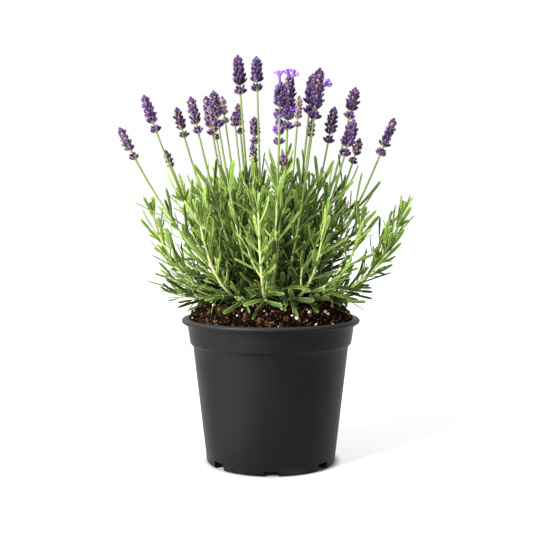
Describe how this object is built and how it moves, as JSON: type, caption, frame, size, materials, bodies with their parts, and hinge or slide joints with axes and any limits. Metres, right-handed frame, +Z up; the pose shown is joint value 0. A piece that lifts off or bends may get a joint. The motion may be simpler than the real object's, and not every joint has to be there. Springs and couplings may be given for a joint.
{
  "type": "potted lavender",
  "caption": "Lavender plant in bloom in a round plastic nursery pot filled with soil, with leafy stems fanning out and violet flower spikes on bare stalks.",
  "frame": {"origin": "on the floor under the middle of the pot", "axes": "+Z up along the pot's axis, -Y towards the front, +X to the right seen from the front"},
  "size_m": [0.277, 0.243, 0.389],
  "materials": {
    "pot_plastic": "satin moulded charcoal plastic",
    "potting_soil": "moist peat and bark mix with pale perlite grains",
    "crown_wood": "rough bark of an old stem",
    "shoot_green": "grey-green leaves and yellow-green square stems, finely downy",
    "flower_violet": "dark violet downy buds with green feet and a few pale violet florets"
  },
  "bodies": {
    "root": {"pot": "pot_plastic", "potting_soil": "potting_soil", "crown": "crown_wood", "flowering_shoot_01": "shoot_green", "flowering_shoot_02": "shoot_green", "flowering_shoot_03": "shoot_green", "flowering_shoot_04": "shoot_green", "flowering_shoot_05": "shoot_green", "flowering_shoot_06": "shoot_green", "flowering_shoot_07": "shoot_green", "flowering_shoot_08": "shoot_green", "flowering_shoot_09": "shoot_green", "flowering_shoot_10": "shoot_green", "flowering_shoot_11": "shoot_green", "flowering_shoot_12": "shoot_green", "flowering_shoot_13": "shoot_green", "flowering_shoot_14": "shoot_green", "flowering_shoot_15": "shoot_green", "flowering_shoot_16": "shoot_green", "flowering_shoot_17": "shoot_green", "flowering_shoot_18": "shoot_green", "flowering_shoot_19": "shoot_green", "flowering_shoot_20": "shoot_green", "flowering_shoot_21": "shoot_green", "flowering_shoot_22": "shoot_green", "flowering_shoot_23": "shoot_green", "flowering_shoot_24": "shoot_green", "flower_head_01": "flower_violet", "flower_head_02": "flower_violet", "flower_head_03": "flower_violet", "flower_head_04": "flower_violet", "flower_head_05": "flower_violet", "flower_head_06": "flower_violet", "flower_head_07": "flower_violet", "flower_head_08": "flower_violet", "flower_head_09": "flower_violet", "flower_head_10": "flower_violet", "flower_head_11": "flower_violet", "flower_head_12": "flower_violet", "flower_head_13": "flower_violet", "flower_head_14": "flower_violet", "flower_head_15": "flower_violet", "flower_head_16": "flower_violet", "flower_head_17": "flower_violet", "flower_head_18": "flower_violet", "flower_head_19": "flower_violet", "flower_head_20": "flower_violet", "flower_head_21": "flower_violet", "flower_head_22": "flower_violet", "flower_head_23": "flower_violet", "flower_head_24": "flower_violet", "leafy_shoot_01": "shoot_green", "leafy_shoot_02": "shoot_green", "leafy_shoot_03": "shoot_green", "leafy_shoot_04": "shoot_green", "leafy_shoot_05": "shoot_green", "leafy_shoot_06": "shoot_green", "leafy_shoot_07": "shoot_green", "leafy_shoot_08": "shoot_green", "leafy_shoot_09": "shoot_green"}
  },
  "joints": []
}
